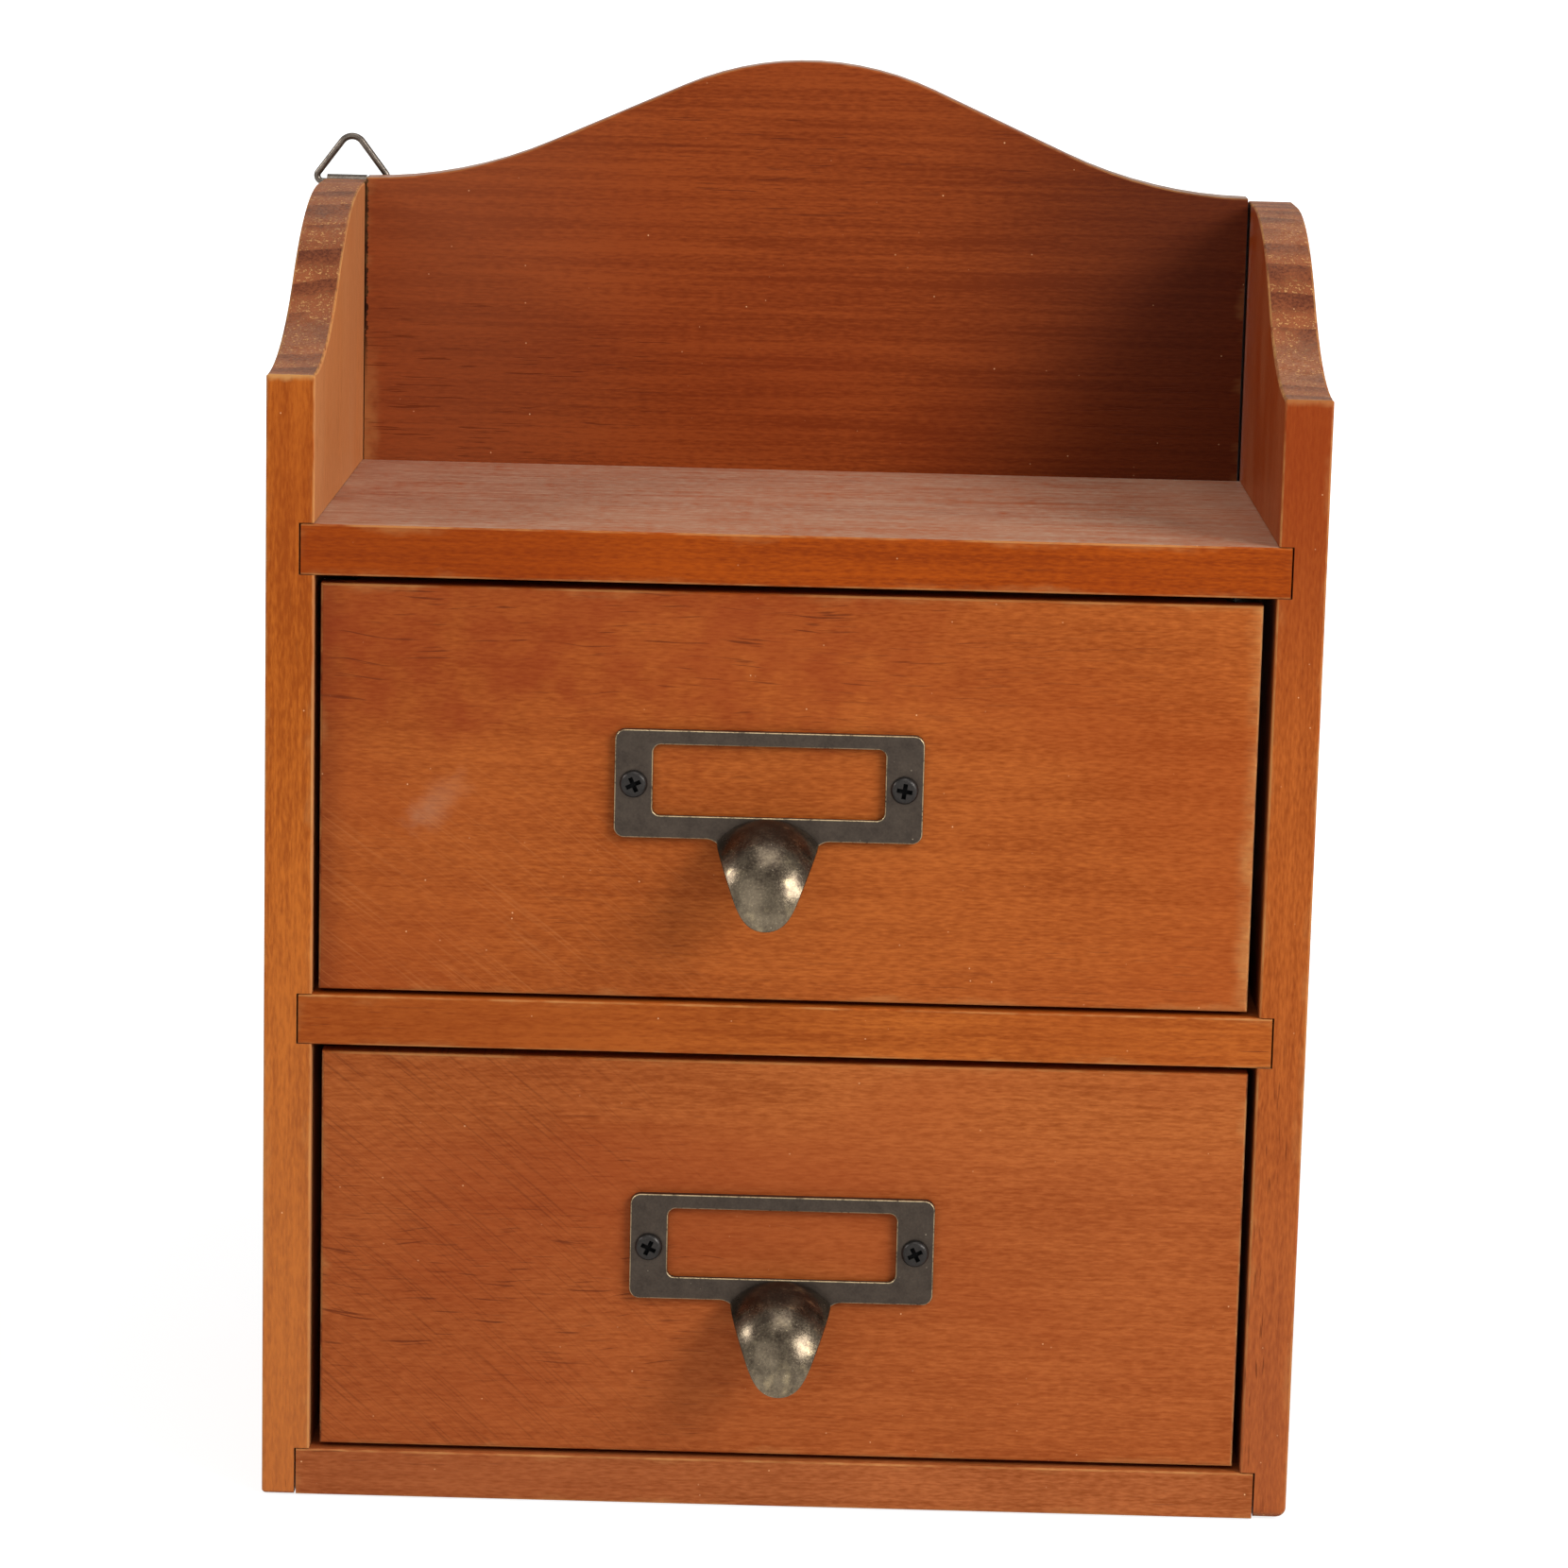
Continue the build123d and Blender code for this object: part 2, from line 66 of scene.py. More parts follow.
class Shader:
    """One node material. Each method adds nodes and returns an output, and takes outputs or plain values."""

    def __init__(self, name):
        self.material = bpy.data.materials.new(name)
        self.material.use_nodes = True
        self.tree = self.material.node_tree
        self.tree.nodes.clear()
        place = self.add("ShaderNodeTexCoord").outputs["Object"]
        self.place = self.vector("SCALE", place, Scale=MM_PER_M)
        self.x, self.y, self.z = self.split(self.place)
        self.normal = self.split(self.add("ShaderNodeNewGeometry").outputs["Normal"])

    def add(self, kind, inputs=(), **settings):
        return add_node(self.tree, kind, inputs, **settings)

    def split(self, vector):
        return self.add("ShaderNodeSeparateXYZ", {0: vector}).outputs[:3]

    def join(self, x, y, z):
        return self.add("ShaderNodeCombineXYZ", {0: x, 1: y, 2: z}).outputs[0]

    def vector(self, operation, a, b=None, **named):
        inputs = {0: a, **named}
        if b is not None:
            inputs[1] = b
        node = self.add("ShaderNodeVectorMath", inputs, operation=operation)
        return node.outputs["Value" if operation == "LENGTH" else "Vector"]

    def math(self, operation, *values):
        return self.add("ShaderNodeMath", enumerate(values), operation=operation).outputs[0]

    def times(self, *values):
        result = values[0]
        for value in values[1:]:
            result = self.math("MULTIPLY", result, value)
        return result

    def plus(self, *values):
        result = values[0]
        for value in values[1:]:
            result = self.math("ADD", result, value)
        return result

    def most(self, *values):
        result = values[0]
        for value in values[1:]:
            result = self.math("MAXIMUM", result, value)
        return result

    def ease(self, value, low, high):
        """0 below low and 1 above high, or the other way round where low is the larger."""
        start, end, flip = (low, high, False) if low < high else (high, low, True)
        sockets = {"Value": value, "From Min": start, "From Max": end, "To Min": float(flip), "To Max": float(not flip)}
        return self.add("ShaderNodeMapRange", sockets, interpolation_type="SMOOTHSTEP").outputs[0]

    def noise(self, vector, scale=1.0, detail=2.0, roughness=0.5):
        """Cloudy noise about 0, mostly within a quarter either way."""
        sockets = {"Vector": vector, "Scale": scale, "Detail": detail, "Roughness": roughness}
        return self.math("SUBTRACT", self.add("ShaderNodeTexNoise", sockets).outputs["Fac"], 0.5)

    def mix(self, factor, a, b):
        sockets = {0: factor, 6: a, 7: b}
        return self.add("ShaderNodeMix", sockets, data_type="RGBA", clamp_factor=True).outputs[2]

    def specks(self, cell, radius):
        """Small round dots of differing strength, about one to each cell of a loose grid; sizes in millimetres."""
        grid = self.add("ShaderNodeTexVoronoi", {"Vector": self.place, "Scale": 1 / cell})
        strength = self.split(grid.outputs["Color"])[0]
        return self.times(strength, self.ease(grid.outputs["Distance"], radius / cell, 0.4 * radius / cell))

    def finish(self, colour, roughness, height, depth, **constants):
        """Principled surface with a bump of the given depth in millimetres."""
        bump = self.add("ShaderNodeBump", {"Height": height, "Distance": depth / MM_PER_M, "Strength": 1.0})
        sockets = {"Base Color": colour, "Roughness": roughness, "Normal": bump.outputs[0], **constants}
        surface = self.add("ShaderNodeBsdfPrincipled", sockets)
        self.add("ShaderNodeOutputMaterial", {0: surface.outputs[0]})
        return self.material


def pine(
    node, along, across, stain, pith, spacing, seed,
    figure=1.0, flecks=0.6, worn=0.5, dusty=0.0, washes=(), marks=None,
):
    """Stained pine for one board. Its grain runs along one axis, and its broad face spans that and the next.

    stain is the board's mean colour, pith the place of the tree's heart across the board and through it, and
    spacing the width of a ring. figure sets how strongly the fibres show, and flecks the short dark ones. Each
    wash tints the board from one place along an axis to another. marks adds what only this board has: it takes
    and returns colour, wear and roughness.
    """
    pale = srgb(1.1 * stain[0], 1.16 * stain[1], 1.28 * stain[2])
    dark = srgb(0.88 * stain[0], 0.82 * stain[1], 0.7 * stain[2])
    red = srgb(0.9 * stain[0], 0.72 * stain[1], 0.6 * stain[2])
    depth = 3 - along - across
    s = Shader("pine_" + node)
    where = (s.x, s.y, s.z)
    shift = (seed * 137.0, seed * 59.0, seed * 83.0)
    grain = s.vector("ADD", s.join(where[along], where[across], where[depth]), shift)

    def field(lengthwise, crosswise, detail=2.0, roughness=0.5):
        stretched = s.vector("MULTIPLY", grain, (lengthwise, crosswise, crosswise))
        return s.noise(stretched, 1.0, detail, roughness)

    # Growth rings, fibres and stain
    radius = s.vector("LENGTH", s.join(
        0.0,
        s.plus(where[across], -pith[0], s.times(field(0.007, 0.012), 14.0)),
        s.plus(where[depth], -pith[1], s.times(field(0.03, 0.1), 2.0)),
    ))
    turn = s.math("FRACT", s.math("DIVIDE", radius, spacing))
    late = s.times(s.ease(turn, 0.15, 0.9), s.ease(turn, 1.0, 0.93), s.ease(field(0.005, 0.05), -0.2, 0.1))
    micro = field(0.5, 2.4)
    fibre = field(0.025, 1.1, 3.0, 0.65)
    streak = field(0.009, 0.24)
    blotch = field(0.018, 0.03, 3.0)
    fibres = s.times(s.plus(s.times(fibre, 1.3), s.times(streak, 0.7)), figure)
    tone = s.plus(0.44, s.times(late, 0.15), s.times(micro, 2.0), fibres, s.times(blotch, 1.1))
    colour = s.mix(tone, pale, dark)
    colour = s.mix(s.times(s.ease(field(0.011, 0.022), 0.0, 0.22), 0.35), colour, red)
    for axis, start, stop, strength, tint in washes:
        colour = s.mix(s.times(s.ease(where[axis], start, stop), strength), colour, srgb(*tint))
    fleck = s.times(s.ease(field(0.11, 2.2, 1.0), 0.15, 0.22), s.ease(field(0.012, 0.03), 0.0, 0.1))

    # End grain: bands, and pores that hold pale dust
    end = s.ease(s.math("ABSOLUTE", s.normal[along]), 0.3, 0.75)
    pore = s.noise(grain, 1.5, 3.0, 0.7)
    cloud = s.noise(grain, 0.1, 3.0)
    end_tone = s.plus(0.3, s.times(late, 0.5), s.times(pore, 2.4), s.times(cloud, 1.6))
    end_colour = s.mix(end_tone, srgb(153, 86, 52), srgb(94, 47, 30))
    early = s.ease(s.plus(late, s.times(cloud, 1.8)), 0.5, 0.1)
    end_colour = s.mix(s.times(s.ease(pore, 0.04, 0.15), early, 0.8), end_colour, srgb(216, 160, 100))
    end_colour = s.mix(s.times(s.ease(pore, -0.14, -0.22), 0.7), end_colour, srgb(62, 28, 18))
    colour = s.mix(end, colour, end_colour)

    # Edges rubbed through to paler wood
    low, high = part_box(node)
    inset = [
        s.math("MINIMUM", s.plus(where[i], -MM_PER_M * low[i]), s.math("SUBTRACT", MM_PER_M * high[i], where[i]))
        for i in range(3)
    ]
    nearer = s.math("MINIMUM", inset[0], inset[1])
    farther = s.math("MAXIMUM", inset[0], inset[1])
    edge = s.math("MAXIMUM", nearer, s.math("MINIMUM", farther, inset[2]))
    lean = s.math("ABSOLUTE", s.normal[depth])
    arris = s.times(s.ease(lean, 0.05, 0.35), s.ease(lean, 0.99, 0.85))
    patchy = field(0.05, 0.12, 4.0, 0.7)
    rub = s.times(s.ease(s.plus(edge, s.times(patchy, -6.0)), 1.5, -0.6), s.ease(patchy, -0.05, 0.2), 0.45)
    wear = s.times(s.most(rub, s.times(arris, s.ease(patchy, -0.15, 0.12))), worn)
    roughness = s.plus(0.42, s.times(micro, 0.15), s.times(end, 0.2), s.times(wear, 0.15))
    if marks:
        colour, wear, roughness = marks(s, colour, wear, roughness)
    colour = s.mix(wear, colour, RAW_WOOD)

    # Dust that lies on what faces up, which also stands in as a painted sheen there, and specks in the varnish
    uneven = s.plus(1.0, cloud, s.times(fibre, 3.0), s.times(micro, 3.0))
    wiped = s.math("SUBTRACT", 1.0, s.times(s.ease(field(0.03, 0.2, 3.0), 0.08, 0.22), 0.5))
    colour = s.mix(s.times(s.ease(s.normal[Z], 0.85, 0.98), uneven, wiped, dusty), colour, DUST_AND_SHEEN)
    colour = s.mix(s.times(fleck, flecks), colour, DARK_FLECK)
    colour = s.mix(s.times(s.specks(4.0, 0.2), 0.9), colour, VARNISH_SPECK)

    height = s.plus(s.times(micro, 0.7), s.times(late, 0.15), s.times(fleck, -0.8), s.times(pore, end, 2.0))
    return s.finish(colour, roughness, height, 0.04, **WOOD_FINISH)


def sanding(s, colour, region, tint, strength):
    """Fine slanting lines that a sander left in a region of a board's front."""
    slant = radians(46)
    down = s.plus(s.times(s.x, cos(slant)), s.times(s.z, -sin(slant)))
    over = s.plus(s.times(s.x, sin(slant)), s.times(s.z, cos(slant)), s.times(down, down, 0.0006))
    lines = s.noise(s.join(s.times(down, 0.03), s.times(over, 2.3), 0.0), 1.0, 2.0, 0.7)
    return s.mix(s.times(s.ease(lines, -0.02, 0.24), region, strength), colour, tint)


def dashes(s, colour, region, seed):
    """Short dark dashes along the grain in a region of a board's front."""
    bent = s.plus(s.z, s.times(s.noise(s.place, 0.02), 12.0), seed * 41.0)
    dash = s.ease(s.noise(s.join(s.times(s.x, 0.065), 0.0, s.times(bent, 1.5)), 1.0, 2.0), 0.11, 0.2)
    return s.mix(s.times(dash, region, 0.7), colour, srgb(88, 34, 14))


def upper_front_marks(s, colour, wear, roughness):
    """Dashes near the top, sanding lines at the lower left, a pale smudge and a rubbed right edge."""
    cloud = s.noise(s.place, 0.1, 3.0, 0.6)
    top = s.times(s.ease(s.plus(s.z, s.times(cloud, 40.0)), 144.0, 168.0), s.ease(s.x, 62.0, 0.0))
    colour = s.mix(s.times(top, s.ease(cloud, -0.4, 0.25), 0.65), colour, srgb(138, 52, 20))
    colour = dashes(s, colour, top, 1)
    lower_left = s.times(s.ease(s.plus(s.x, s.times(cloud, 60.0)), 20.0, -50.0), s.ease(s.z, 158.0, 125.0))
    colour = sanding(s, colour, lower_left, srgb(202, 126, 70), 0.26)
    aside = s.plus(s.x, 116.0, s.times(s.z, -0.35), s.times(cloud, 16.0))
    above = s.times(s.plus(s.z, -137.5, s.times(cloud, 20.0)), 0.8)
    smudge = s.ease(s.vector("LENGTH", s.join(aside, 0.0, above)), 5.8, 0.0)
    colour = s.mix(s.times(smudge, s.plus(0.22, s.times(cloud, 0.7))), colour, srgb(194, 150, 118))
    right_edge = s.times(s.ease(s.plus(s.x, s.times(cloud, 5.0)), 85.0, 90.5), s.ease(s.normal[Y], -0.2, -0.6))
    ragged = s.noise(s.vector("MULTIPLY", s.place, (0.4, 1.0, 0.9)), 1.0, 3.0, 0.7)
    rubbed = s.times(right_edge, s.plus(0.42, cloud, ragged))
    return colour, s.most(wear, rubbed), roughness


def lower_front_marks(s, colour, wear, roughness):
    """Dashes low on the left, and sanding lines over the left half."""
    cloud = s.noise(s.place, 0.08, 3.0, 0.6)
    low = s.times(s.ease(s.plus(s.z, s.times(cloud, 30.0)), 64.0, 48.0), s.ease(s.z, 18.0, 34.0))
    colour = dashes(s, colour, s.times(low, s.ease(s.plus(s.x, s.times(cloud, 120.0)), 10.0, -30.0)), 2)
    left = s.ease(s.plus(s.x, s.times(cloud, 70.0)), 0.0, -60.0)
    return sanding(s, colour, left, srgb(98, 40, 16), 0.5), wear, roughness


def top_shelf_marks(s, colour, wear, roughness):
    """Brown scuffs on the tray's floor, more of them toward its front right."""
    bent = s.plus(s.y, s.times(s.noise(s.place, 0.03), 20.0))
    scuff = s.ease(s.noise(s.join(s.times(s.x, 0.06), s.times(bent, 0.45), 0.0), 1.0, 3.0, 0.6), 0.1, 0.24)
    place = s.plus(0.35, s.times(s.ease(s.x, -20.0, 60.0), s.ease(s.y, 0.0, -45.0), 0.5))
    upward = s.ease(s.normal[Z], 0.5, 0.9)
    return s.mix(s.times(scuff, place, upward), colour, srgb(96, 44, 30)), wear, roughness


def panel_marks(s, colour, wear, roughness, inward, painted_sheen, veil, rubbed):
    """Paler inner face as a painted sheen, painted shade on it in the gap at the back board's edge, and a rubbed corner
    above the front.

    inward is the sign of X that the inner face looks along. The other three are strengths from 0 to 1: of the painted
    sheen, the pale smear and the rubbed corner.
    """
    inner = s.ease(s.times(s.normal[X], inward), 0.5, 0.9)
    # Painted sheen: a paler colour on the inner face stands in for light glancing off it
    colour = s.mix(s.times(inner, painted_sheen), colour, srgb(214, 150, 96))
    # Painted shade: near-black on the inner face in the narrow gap past the back board's face, rougher there too
    gap_shade = s.times(inner, s.ease(s.y, BACK_BOARD_FACE - 0.2, BACK_BOARD_FACE + 0.1))
    colour = s.mix(s.times(gap_shade, 0.95), colour, srgb(22, 12, 8))
    smear = s.noise(s.vector("MULTIPLY", s.place, (1.0, 0.06, 0.02)), 1.0, 3.0, 0.6)
    colour = s.mix(s.times(inner, s.ease(smear, -0.15, 0.2), veil), colour, srgb(204, 150, 106))
    ragged = s.noise(s.place, 0.3, 3.0, 0.6)
    corner = s.vector("LENGTH", s.join(0.0, s.plus(s.y, -FRONT_PLANE), s.plus(s.z, -LIP_TOP)))
    corner = s.times(s.ease(s.plus(corner, s.times(ragged, -2.0)), 1.5, 0.0), rubbed)
    return colour, s.most(wear, corner), s.plus(roughness, s.times(gap_shade, 0.6))


def left_panel_marks(s, colour, wear, roughness):
    return panel_marks(s, colour, wear, roughness, inward=1.0, painted_sheen=0.5, veil=0.2, rubbed=0.8)


def right_panel_marks(s, colour, wear, roughness):
    return panel_marks(s, colour, wear, roughness, inward=-1.0, painted_sheen=0.0, veil=0.12, rubbed=0.3)


def back_marks(s, colour, wear, roughness):
    """Painted shade in a ragged dark line along the left end, where the gap at the housing is, with a little raw wood
    in its lower corner.
    """
    left = MM_PER_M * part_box("back_board")[0][X]
    ragged_gap_edge = s.noise(s.join(0.0, 0.0, s.z), 0.55, 3.0, 0.7)
    reach = s.plus(s.x, -left, s.times(ragged_gap_edge, -2.4))
    # Painted shade: dark brown along the left end, standing in for the gap's shade
    colour = s.mix(s.times(s.ease(reach, 0.6, 0.3), s.ease(s.z, 200.0, 224.0)), colour, srgb(40, 18, 10))
    raw = s.ease(s.plus(reach, s.times(s.noise(s.place, 0.4), 5.0)), 4.0, 0.0)
    raw = s.times(raw, s.ease(s.z, 222.0, 200.0), s.ease(s.z, 184.0, 190.0), s.ease(s.normal[Y], -0.2, -0.6), 0.3)
    return colour, s.most(wear, raw), roughness


def plywood(node, seed):
    """Face veneer of thin bare plywood."""
    s = Shader("plywood_" + node)
    grain = s.vector("ADD", s.vector("MULTIPLY", s.place, (0.02, 0.6, 0.6)), (seed * 31.0, seed * 17.0, 0.0))
    veneer = s.noise(grain, 1.0, 4.0, 0.6)
    fibre = s.noise(s.vector("MULTIPLY", s.place, (0.2, 4.0, 4.0)), 1.0, 2.0)
    tone = s.plus(0.45, s.times(veneer, 0.9), s.times(fibre, 0.6))
    colour = s.mix(tone, srgb(208, 164, 112), srgb(166, 118, 72))
    roughness = s.plus(0.55, s.times(fibre, 0.2))
    return s.finish(colour, roughness, s.plus(fibre, veneer), 0.05, **WOOD_FINISH)


def bronze(node, seed):
    """Darkened brass of a label pull, rubbed bright along its edges and in patches on its hood. The hood is lighter
    toward its tip, partly wear and partly a painted reflection, and the patches lean right as a painted highlight.
    """
    s = Shader("bronze_" + node)
    low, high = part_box(node)
    plate_front = MM_PER_M * high[Y] - PULL_PLATE
    centre = MM_PER_M * (low[X] + high[X]) / 2
    tip = MM_PER_M * low[Z]
    there = s.vector("ADD", s.place, (seed * 41.0, seed * 23.0, seed * 67.0))
    cloud = s.noise(there, 0.3, 3.0, 0.6)
    grit = s.noise(there, 2.4, 3.0, 0.65)
    scuff = s.noise(s.vector("MULTIPLY", there, (0.3, 0.5, 0.3)), 1.0, 4.0, 0.6)
    plate = s.ease(s.y, plate_front - 0.25, plate_front - 0.02)
    hood = s.math("SUBTRACT", 1.0, plate)
    lean = s.math("ABSOLUTE", s.normal[Y])
    arris = s.times(plate, s.ease(lean, 0.2, 0.5), s.ease(lean, 0.98, 0.82), s.ease(s.plus(grit, cloud), -0.35, 0.1))
    colour = s.mix(s.plus(0.5, s.times(cloud, 1.4), grit), srgb(56, 48, 42), srgb(78, 68, 59))
    # Lighter toward the hood's tip: partly wear, partly a painted reflection of light from above
    tip_wear_and_reflection = s.ease(s.z, tip + 16.0, tip)
    highlight_side = s.ease(s.plus(s.x, -centre), -2.0, 7.0)
    hood_tone = s.plus(0.1, s.times(tip_wear_and_reflection, 0.35), cloud, s.times(grit, 0.7))
    colour = s.mix(hood, colour, s.mix(hood_tone, srgb(62, 52, 42), srgb(140, 126, 104)))
    crook = s.times(hood, s.ease(s.z, tip + 14.5, tip + 18.5))
    colour = s.mix(s.times(crook, 0.6), colour, srgb(30, 26, 23))
    # Bare rubbed patches, more of them on the right as a painted highlight of the key lamp
    bare = s.times(hood, s.ease(s.plus(scuff, s.times(tip_wear_and_reflection, 0.1), s.times(highlight_side, 0.08)), 0.1, 0.45))
    scratch = s.times(hood, s.ease(grit, 0.18, 0.24), s.ease(cloud, -0.05, 0.1))
    bright = s.most(s.times(arris, 0.8), s.times(bare, 0.5), s.times(scratch, 0.6))
    colour = s.mix(bright, colour, BARE_METAL)
    colour = s.mix(s.times(s.specks(2.4, 0.16), 0.6), colour, srgb(200, 184, 160))
    roughness = s.plus(0.4, s.times(grit, 0.2), s.times(hood, -0.16), s.times(crook, 0.3))
    return s.finish(colour, roughness, s.plus(s.times(grit, 0.3), cloud), 0.04, Metallic=0.9)


def steel(name, pale, dark, roughness, metallic, slots=None):
    """Plain steel parts: screws, brads, straps and rings, with cloudy plating.

    slots names a row of two screws, whose cross slots get painted shade at the bottom.
    """
    s = Shader(name)
    cloud = s.noise(s.place, 0.5, 3.0, 0.6)
    grit = s.noise(s.place, 3.0, 3.0, 0.6)
    colour = s.mix(s.plus(0.5, s.times(cloud, 1.2), s.times(grit, 1.2)), pale, dark)
    roughness = s.plus(roughness, s.times(grit, 0.25))
    if slots:
        low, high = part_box(slots)
        middle, level = [MM_PER_M * (low[i] + high[i]) / 2 for i in (X, Z)]
        half_row, head = [MM_PER_M * (high[i] - low[i]) / 2 for i in (X, Z)]
        head_top = MM_PER_M * low[Y]
        reach = s.plus(s.math("ABSOLUTE", s.plus(s.x, -middle)), head - half_row)
        centre = s.ease(s.vector("LENGTH", s.join(reach, 0.0, s.plus(s.z, -level))), 0.75 * head, 0.6 * head)
        # Painted shade: near-black and rougher at the bottom of the cross slots
        slot_shade = s.times(centre, s.ease(s.y, head_top + 0.1, head_top + 0.5))
        colour = s.mix(slot_shade, colour, srgb(10, 9, 9))
        roughness = s.plus(roughness, s.times(slot_shade, 0.5))
    return s.finish(colour, roughness, s.plus(grit, cloud), 0.03, Metallic=metallic)


# Node, grain axis, width axis, stain, pith, ring spacing, seed and other settings of each stained board
# A wash is an axis, the places where it starts and is full, its strength and its colour
boards = (
    ("left_side_panel", Z, Y, (178, 91, 26), (-230.0, -60.0), 9.0, 1, {
        "figure": 1.2, "dusty": 0.12, "marks": left_panel_marks,
        "washes": ((Z, 170, 10, 0.3, (196, 130, 80)), (Z, 130, 215, 0.25, (140, 56, 16))),
    }),
    ("right_side_panel", Z, Y, (164, 81, 28), (-260.0, 70.0), 8.0, 2, {
        "figure": 0.9, "dusty": 0.14, "marks": right_panel_marks,
        "washes": ((Z, 120, 10, 0.3, (156, 90, 64)), (Z, 140, 212, 0.75, (134, 48, 12))),
    }),
    ("bottom_board", X, Y, (164, 88, 43), (20.0, -60.0), 6.0, 3, {"washes": ((X, 40, -80, 0.3, (128, 62, 34)),)}),
    ("middle_shelf", X, Y, (169, 86, 29), (-10.0, 40.0), 5.0, 4, {
        "figure": 1.3, "washes": ((X, 40, -70, 0.5, (138, 56, 14)),),
    }),
    ("top_shelf", X, Y, (153, 64, 9), (-40.0, 130.0), 5.5, 5, {
        "figure": 1.3, "dusty": 0.44, "marks": top_shelf_marks, "washes": ((X, 0, -90, 0.35, (128, 46, 8)),),
    }),
    ("back_board", X, Z, (136, 60, 21), (420.0, 90.0), 9.0, 6, {
        "figure": 1.7, "worn": 0.3, "dusty": 0.4, "marks": back_marks,
        # Painted shadow and light: the first wash darkens the right end as the right side panel's shadow, the second
        # pales the left end
        "washes": ((X, 10, 86, 0.7, (60, 23, 13)), (X, -20, -80, 0.35, (150, 84, 52))),
    }),
    ("upper_drawer_front", X, Z, (167, 84, 31), (380.0, 30.0), 9.0, 7, {
        "figure": 0.55, "flecks": 0.2, "marks": upper_front_marks,
        "washes": ((X, 0, -85, 0.15, (138, 62, 28)), (X, -83, -89.5, 0.45, (104, 42, 18))),
    }),
    ("lower_drawer_front", X, Z, (169, 89, 38), (30.0, 40.0), 9.0, 8, {
        "figure": 0.85, "flecks": 0.35, "marks": lower_front_marks,
        "washes": ((X, 20, -60, 0.2, (136, 60, 28)), (Z, 82, 66, 0.2, (148, 62, 30))),
    }),
)
materials = {node: pine(node, *rest, **more) for node, *rest, more in boards}
for i, prefix in enumerate(("upper", "lower")):
    for j, wall in enumerate(("left_side", "right_side", "back")):
        node = f"{prefix}_drawer_{wall}"
        along = X if wall == "back" else Y
        materials[node] = pine(node, along, Z, (182, 118, 66), (220.0, 30.0), 5.0, 20 + 5 * i + j, worn=0.3)
    materials[f"{prefix}_drawer_bottom"] = plywood(f"{prefix}_drawer_bottom", i + 1)
    materials[f"{prefix}_pull"] = bronze(f"{prefix}_pull", i + 1)
    screws = f"{prefix}_pull_screws"
    materials[screws] = steel("blackened_" + screws, srgb(52, 48, 45), srgb(32, 29, 27), 0.36, 0.7, screws)
black = steel("blackened_screw", srgb(54, 50, 47), srgb(34, 31, 29), 0.36, 0.7)
plated = steel("plated_wire", srgb(118, 108, 98), srgb(70, 62, 56), 0.3, 0.9)
bright_wire = steel("bright_wire", srgb(188, 184, 178), srgb(140, 136, 132), 0.3, 1.0)
for node, obj in nodes.items():
    material = materials.get(node)
    if material is None:
        material = bright_wire if "brads" in node else black if "screw" in node else plated
    for slot in obj.material_slots:
        slot.material = material

# Camera at the photograph's place
camera = bpy.data.objects.new("camera", bpy.data.cameras.new("camera"))
scene.collection.objects.link(camera)
camera.location = (0.00604, -0.98870, 0.32336)
camera.rotation_euler = (radians(79.1347), radians(-1.3461), radians(0.7026))
camera.data.sensor_width = 36.0
camera.data.lens = 115.255
scene.camera = camera

# White studio: a pale floor, a white surround and four soft lamps
world = bpy.data.worlds.new("studio")
world.use_nodes = True
scene.world = world


def seen_directly(tree):
    """1 for rays from the camera, mirrors and glass, which see a plain white surround."""
    path = add_node(tree, "ShaderNodeLightPath").outputs
    total = path["Is Camera Ray"]
    for name in ("Is Glossy Ray", "Is Transmission Ray"):
        total = add_node(tree, "ShaderNodeMath", {0: total, 1: path[name]}, operation="MAXIMUM").outputs[0]
    return total


tree = world.node_tree
tree.nodes.clear()
ambient = add_node(tree, "ShaderNodeBackground", {"Color": (1.0, 0.98, 0.96, 1.0), "Strength": 0.16})
white = add_node(tree, "ShaderNodeBackground", {"Strength": 1.0})
sockets = {0: seen_directly(tree), 1: ambient.outputs[0], 2: white.outputs[0]}
choice = add_node(tree, "ShaderNodeMixShader", sockets)
add_node(tree, "ShaderNodeOutputWorld", {0: choice.outputs[0]})

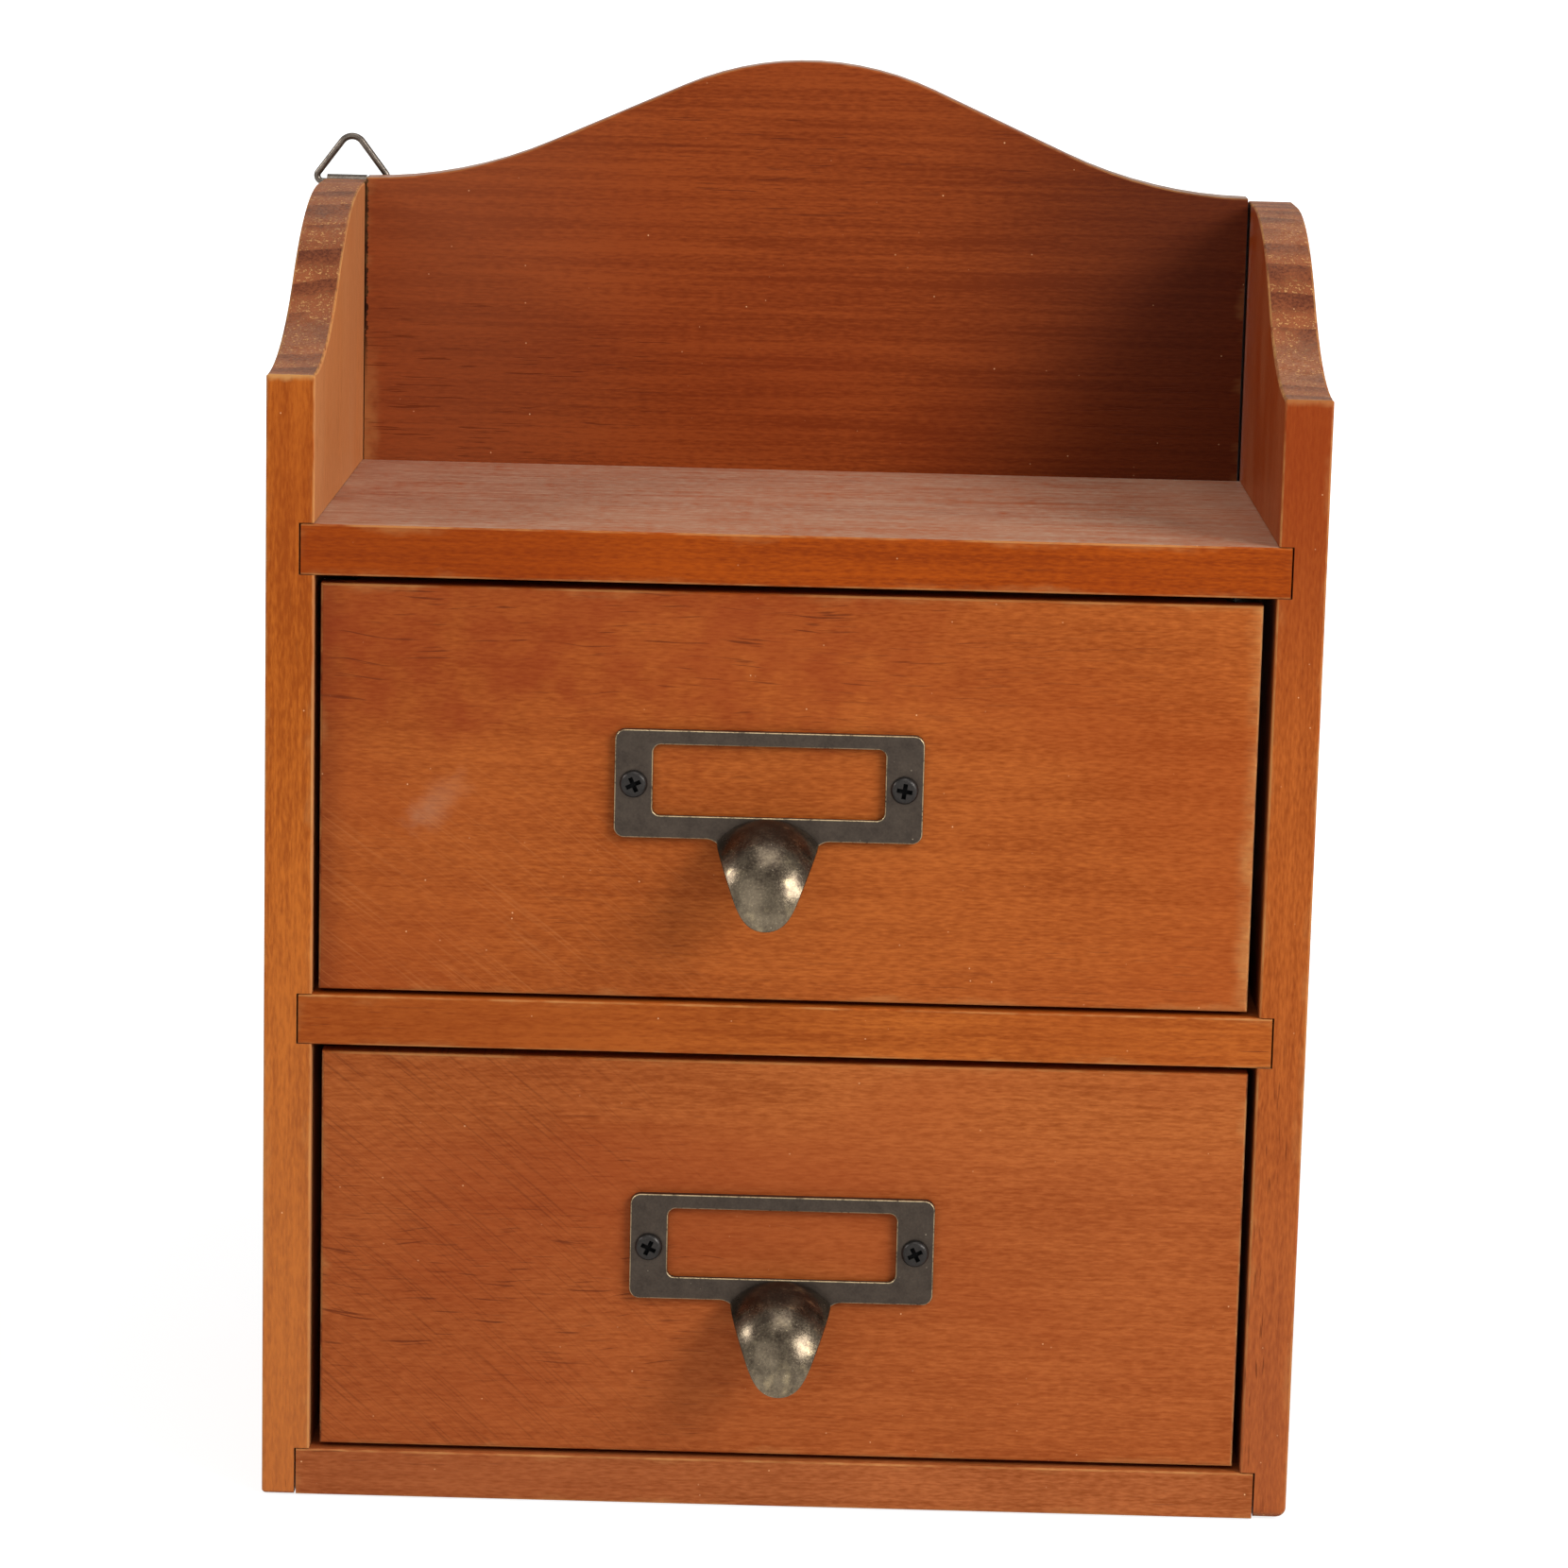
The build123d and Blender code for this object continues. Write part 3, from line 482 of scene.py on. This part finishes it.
floor_half = 15.0
floor_drop = 0.0003
floor_mesh = bpy.data.meshes.new("floor")
corners = [(i * floor_half, j * floor_half, 0) for i, j in ((-1, -1), (1, -1), (1, 1), (-1, 1))]
floor_mesh.from_pydata(corners, [], [(0, 1, 2, 3)])
floor = bpy.data.objects.new("floor", floor_mesh)
floor.location.z = -floor_drop
scene.collection.objects.link(floor)

# The floor shows its shade near the object and turns plain white farther off
floor_material = bpy.data.materials.new("pale_floor")
floor_material.use_nodes = True
tree = floor_material.node_tree
tree.nodes.clear()
matte = add_node(tree, "ShaderNodeBsdfDiffuse", {"Color": (0.9, 0.9, 0.9, 1.0)})
glow = add_node(tree, "ShaderNodeEmission", {"Strength": 1.4})
ground = add_node(tree, "ShaderNodeTexCoord").outputs["Object"]
away = add_node(tree, "ShaderNodeVectorMath", {0: ground}, operation="LENGTH").outputs["Value"]
sockets = {"Value": away, "From Min": 0.18, "From Max": 0.5, "To Min": 0.6, "To Max": 1.0}
spread = add_node(tree, "ShaderNodeMapRange", sockets, interpolation_type="SMOOTHSTEP").outputs[0]
share = add_node(tree, "ShaderNodeMath", {0: seen_directly(tree), 1: spread}, operation="MULTIPLY").outputs[0]
choice = add_node(tree, "ShaderNodeMixShader", {0: share, 1: matte.outputs[0], 2: glow.outputs[0]})
add_node(tree, "ShaderNodeOutputMaterial", {0: choice.outputs[0]})
floor_mesh.materials.append(floor_material)


def lamp(name, turn, rise, distance, width, height, power):
    """Soft rectangular lamp that faces the middle of the object, turned to the right of the front and raised."""
    turn, rise = radians(turn), radians(rise)
    centre = Vector((0.0, 0.0, 0.14))
    away = Vector((cos(rise) * sin(turn), -cos(rise) * cos(turn), sin(rise)))
    data = bpy.data.lights.new(name, "AREA")
    data.shape = "RECTANGLE"
    data.size = width
    data.size_y = height
    data.energy = power
    obj = bpy.data.objects.new(name, data)
    obj.location = centre + distance * away
    obj.rotation_euler = (-away).to_track_quat("-Z", "Y").to_euler()
    scene.collection.objects.link(obj)


lamp("key", turn=50, rise=26, distance=1.05, width=0.5, height=0.42, power=8.4)
lamp("fill", turn=-25, rise=20, distance=1.4, width=1.0, height=0.8, power=2.0)
lamp("top", turn=10, rise=76, distance=1.2, width=0.7, height=0.7, power=3.7)
lamp("left", turn=-76, rise=30, distance=0.9, width=0.16, height=0.18, power=1.9)
